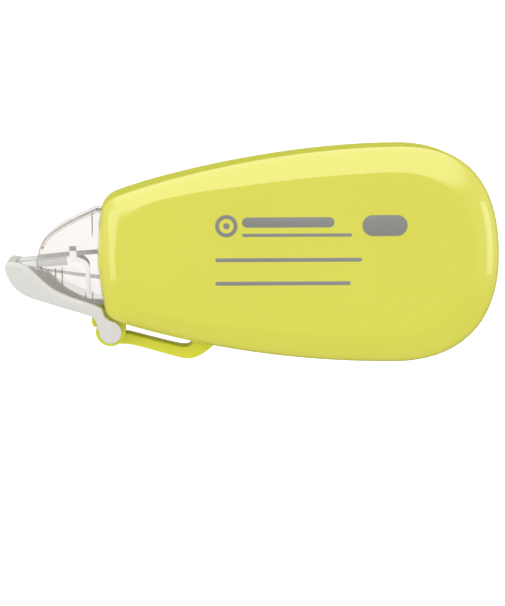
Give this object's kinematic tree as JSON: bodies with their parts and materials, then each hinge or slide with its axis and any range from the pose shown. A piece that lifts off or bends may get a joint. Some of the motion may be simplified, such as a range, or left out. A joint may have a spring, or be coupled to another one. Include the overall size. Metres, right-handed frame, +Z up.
{
  "type": "correction tape roller",
  "caption": "Teardrop correction tape dispenser with a clear snout, a hinged white head cap, a strap arm, and geared tape reels inside.",
  "frame": {"origin": "under the middle of the object, on the surface it stands on", "axes": "+X from the cap's tip to the round end of the body, +Y from the front shell to the rear shell, +Z up"},
  "size_m": [0.0782, 0.0154, 0.0344],
  "materials": {
    "lime_shell": "glossy moulded ABS, lime yellow",
    "clear_plastic": "polished clear styrene",
    "head_plastic": "translucent moulded plastic",
    "white_plastic": "warm white satin moulded plastic",
    "correction_tape": "white coating on carrier film",
    "carrier_film": "stripped carrier film",
    "gear_plastic": "acetal",
    "reel_plastic": "white styrene",
    "disc_film": "clear film disc",
    "clutch_rubber": "matt elastomer"
  },
  "bodies": {
    "case": {"front_shell": "lime_shell", "rear_shell": "lime_shell", "snout_cover": "clear_plastic", "snout_frame": "clear_plastic", "applicator_head": "head_plastic", "feed_tape": "correction_tape", "return_tape": "carrier_film"},
    "head_cap": {"head_cap": "white_plastic"},
    "supply_drive": {"supply_gear": "gear_plastic", "clutch_ring": "clutch_rubber", "supply_retainer": "gear_plastic"},
    "supply_reel": {"supply_core": "reel_plastic", "supply_tape_roll": "correction_tape", "supply_disc_front": "disc_film", "supply_disc_rear": "disc_film"},
    "idler": {"idler_gear": "gear_plastic"},
    "takeup_reel": {"takeup_spool": "gear_plastic", "takeup_roll": "carrier_film", "takeup_disc_front": "disc_film", "takeup_disc_rear": "disc_film", "takeup_retainer": "gear_plastic"}
  },
  "joints": [
    {"name": "head_cap_hinge", "type": "hinge", "parent": "case", "child": "head_cap", "pos_m": [-0.0226, 0, 0.0049], "axis": [0, -1, 0], "range_deg": [0, 180]},
    {"name": "supply_spin", "type": "hinge", "parent": "case", "child": "supply_drive", "pos_m": [0.0219, 0, 0.0173], "axis": [0, -1, 0], "continuous": true},
    {"name": "clutch_slip", "type": "hinge", "parent": "supply_drive", "child": "supply_reel", "pos_m": [0.0219, 0, 0.0173], "axis": [0, -1, 0], "continuous": true},
    {"name": "idler_spin", "type": "hinge", "parent": "case", "child": "idler", "pos_m": [0.00412, 0, 0.02008], "axis": [0, -1, 0], "continuous": true},
    {"name": "takeup_spin", "type": "hinge", "parent": "case", "child": "takeup_reel", "pos_m": [-0.0057, 0, 0.0173], "axis": [0, -1, 0], "continuous": true}
  ],
  "couplings": [
    {"joint": "idler_spin", "follows": "supply_spin", "ratio": -3.2857},
    {"joint": "takeup_spin", "follows": "supply_spin", "ratio": 2.3}
  ]
}
